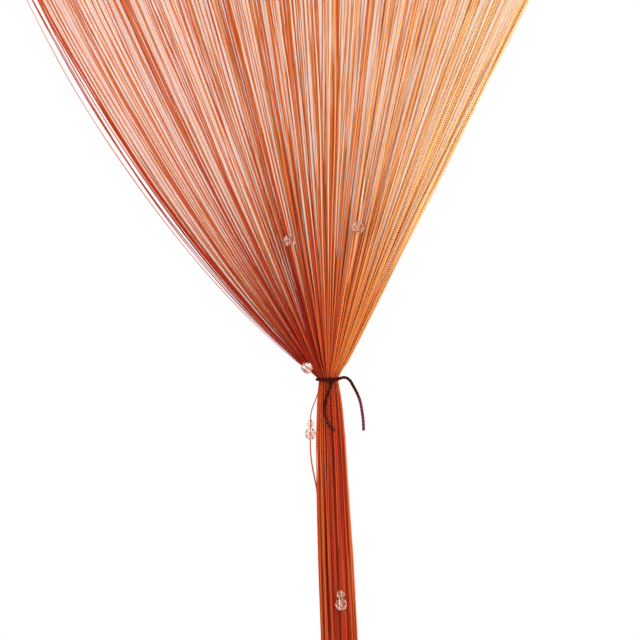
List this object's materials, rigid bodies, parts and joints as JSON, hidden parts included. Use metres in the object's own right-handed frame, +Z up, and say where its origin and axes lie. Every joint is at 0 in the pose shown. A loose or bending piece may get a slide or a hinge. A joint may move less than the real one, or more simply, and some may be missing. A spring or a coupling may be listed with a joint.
{
  "type": "tassel curtain",
  "caption": "Curtain of many free-hanging knitted strings with sparse faceted beads, fixed to one heading tape and gathered into a narrow bundle by a thin tied cord.",
  "frame": {"origin": "middle of the panel's top edge, at mid thickness", "axes": "+Z up, +X to the right across the panel as seen in the picture, -Y towards the viewer"},
  "size_m": [0.9, 0.048, 2],
  "materials": {
    "string_yarn": "flat chain-knitted polyester string",
    "heading_tape": "close knitted tape in the strings' colour",
    "tie_cord": "thin twisted dark red cord",
    "bead": "clear faceted bead"
  },
  "bodies": {
    "root": {"heading_band": "heading_tape", "strings": "string_yarn", "tie_loop": "tie_cord", "tie_end_long": "tie_cord", "tie_end_short": "tie_cord", "bead_01": "bead", "bead_02": "bead", "bead_03": "bead", "bead_04": "bead", "bead_05": "bead", "bead_06": "bead", "bead_07": "bead", "bead_08": "bead", "bead_09": "bead", "bead_10": "bead", "bead_11": "bead", "bead_12": "bead", "bead_13": "bead", "bead_14": "bead", "bead_15": "bead", "bead_16": "bead", "bead_17": "bead", "bead_18": "bead", "bead_19": "bead", "bead_20": "bead", "bead_21": "bead", "bead_22": "bead", "bead_23": "bead", "bead_24": "bead", "bead_25": "bead", "bead_26": "bead", "bead_27": "bead", "bead_28": "bead", "bead_29": "bead", "bead_30": "bead", "bead_31": "bead", "bead_32": "bead", "bead_33": "bead", "bead_34": "bead", "bead_35": "bead", "bead_36": "bead", "bead_37": "bead", "bead_38": "bead"}
  },
  "joints": []
}
